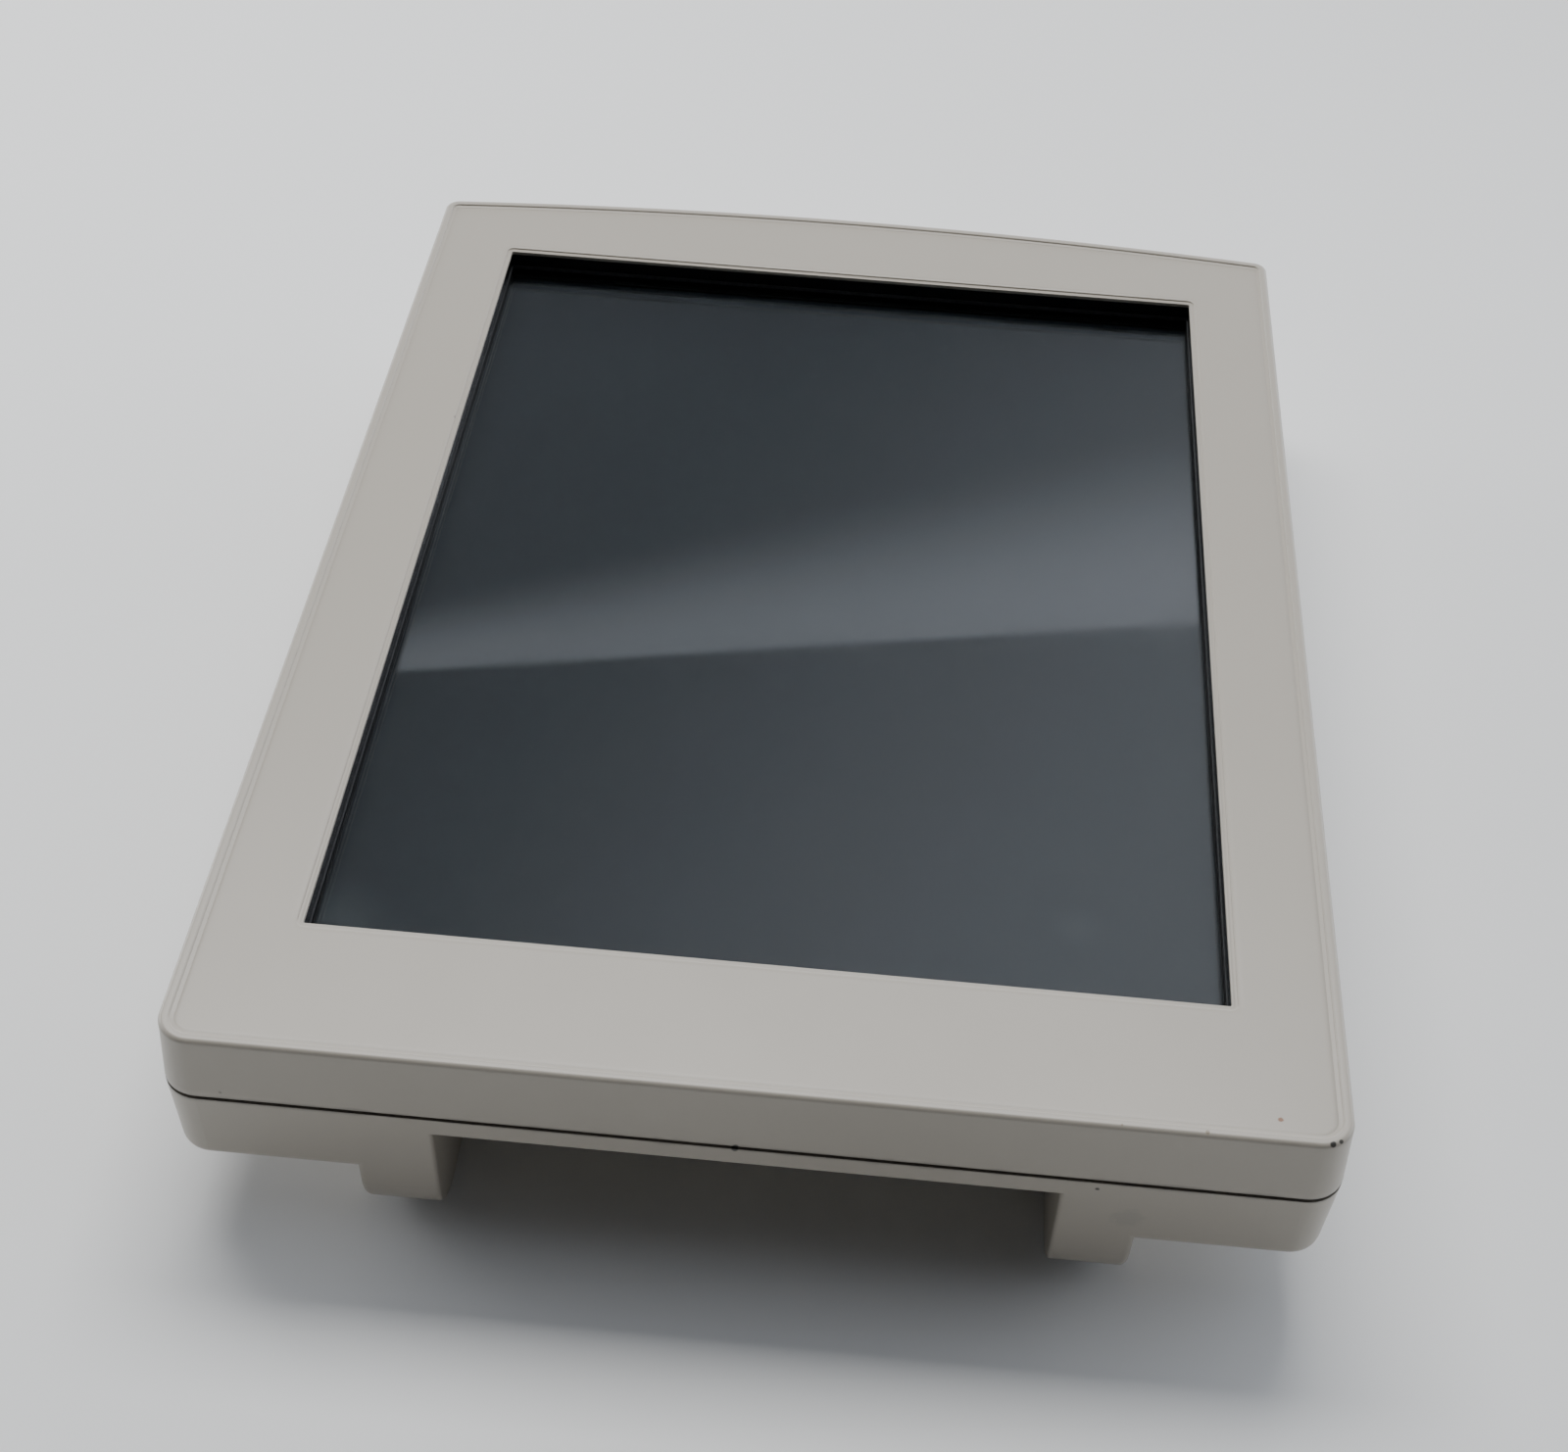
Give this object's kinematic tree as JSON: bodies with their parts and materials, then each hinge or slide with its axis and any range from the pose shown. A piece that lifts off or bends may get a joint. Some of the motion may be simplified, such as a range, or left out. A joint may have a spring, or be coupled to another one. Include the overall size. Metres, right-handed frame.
{
  "type": "hmi touch panel",
  "caption": "Portrait industrial touch panel: moulded bezel round a deep-set screen with an infrared touch frame, rear hump with connector bay and bolt-on mounting holes.",
  "frame": {"origin": "under the middle of the panel as it lies on its back, on the surface its rubber feet stand on", "axes": "+Z out of the screen, +Y towards the arched edge, -Y towards the edge with the connector bay, +X to the right seen from the front"},
  "size_m": [0.2912, 0.391, 0.07],
  "materials": {
    "housing": "satin moulded ABS, warm light grey",
    "filter_black": "dark red-black acrylic, passes infrared only",
    "seal_black": "closed-cell foam",
    "screen": "clear toughened glass over the dark display",
    "display_dark": "switched-off liquid crystal cell",
    "feet_rubber": "moulded rubber",
    "sheet_steel": "zinc-plated sheet",
    "screw_steel": "zinc-plated screws and posts",
    "brass": "turned",
    "heat_sink_aluminium": "extruded, black anodised",
    "circuit_board": "solder mask on glass-fibre laminate",
    "component_black": "moulded component bodies",
    "white_moulding": "white polycarbonate",
    "diffuser_film": "diffusing film stack",
    "light_guide": "clear acrylic sheet",
    "lamp_glass": "phosphor-coated tube",
    "socket_metal": "nickel-plated shell",
    "terminal_green": "polyamide terminal body",
    "switch_black": "black nylon",
    "button_grey": "moulded button caps",
    "lead_sheath": "PVC sheath"
  },
  "bodies": {
    "housing": {"front_bezel": "housing", "rear_cover": "housing", "infrared_filter_frame": "filter_black", "filter_gasket": "seal_black", "glass_gasket": "seal_black", "seam_gasket": "seal_black", "front_glass": "screen", "lcd_cell": "display_dark", "rubber_feet": "feet_rubber", "lcd_front_frame": "sheet_steel", "lcd_side_brackets": "sheet_steel", "chassis_plate": "sheet_steel", "mount_bracket": "sheet_steel", "connector_plate": "sheet_steel", "lcd_lamp_reflectors": "sheet_steel", "rear_cover_screws": "screw_steel", "pan_head_screws": "screw_steel", "board_to_moulding_screws": "screw_steel", "board_standoffs": "screw_steel", "jack_posts": "screw_steel", "mount_inserts": "brass", "heat_sink": "heat_sink_aluminium", "touch_board_left": "circuit_board", "touch_board_right": "circuit_board", "touch_board_near": "circuit_board", "touch_board_far": "circuit_board", "touch_controller": "circuit_board", "main_board": "circuit_board", "power_board": "circuit_board", "lamp_inverter_board": "circuit_board", "button_board": "circuit_board", "lcd_driver_board": "circuit_board", "infrared_emitters": "component_black", "infrared_detectors": "component_black", "main_board_parts": "component_black", "power_board_parts": "component_black", "lamp_inverter_transformers": "component_black", "button_switches": "component_black", "lcd_back_pan": "white_moulding", "lcd_panel_frame": "white_moulding", "lcd_diffuser_films": "diffuser_film", "lcd_light_guide": "light_guide", "lcd_lamps": "lamp_glass", "dvi_socket": "socket_metal", "video_socket": "socket_metal", "usb_socket": "socket_metal", "power_terminal": "terminal_green", "power_switch_housing": "switch_black", "lamp_leads": "lead_sheath", "signal_leads": "lead_sheath", "power_lead": "lead_sheath", "display_ribbon": "lead_sheath"},
    "rocker": {"power_switch_rocker": "switch_black"},
    "menu_key": {"menu_button": "button_grey"},
    "down_key": {"down_button": "button_grey"},
    "up_key": {"up_button": "button_grey"},
    "select_key": {"select_button": "button_grey"}
  },
  "joints": [
    {"name": "rocker_tilt", "type": "hinge", "parent": "housing", "child": "rocker", "pos_m": [-0.06, -0.1176, 0.0265], "axis": [1, 0, 0], "range_deg": [-16, 0]},
    {"name": "menu_press", "type": "slide", "parent": "housing", "child": "menu_key", "axis": [0, 0, 1], "range_m": [0, 0.0006], "stiffness_N_per_m": 1200, "springref_m": -0.0005},
    {"name": "down_press", "type": "slide", "parent": "housing", "child": "down_key", "axis": [0, 0, 1], "range_m": [0, 0.0006], "stiffness_N_per_m": 1200, "springref_m": -0.0005},
    {"name": "up_press", "type": "slide", "parent": "housing", "child": "up_key", "axis": [0, 0, 1], "range_m": [0, 0.0006], "stiffness_N_per_m": 1200, "springref_m": -0.0005},
    {"name": "select_press", "type": "slide", "parent": "housing", "child": "select_key", "axis": [0, 0, 1], "range_m": [0, 0.0006], "stiffness_N_per_m": 1200, "springref_m": -0.0005}
  ]
}
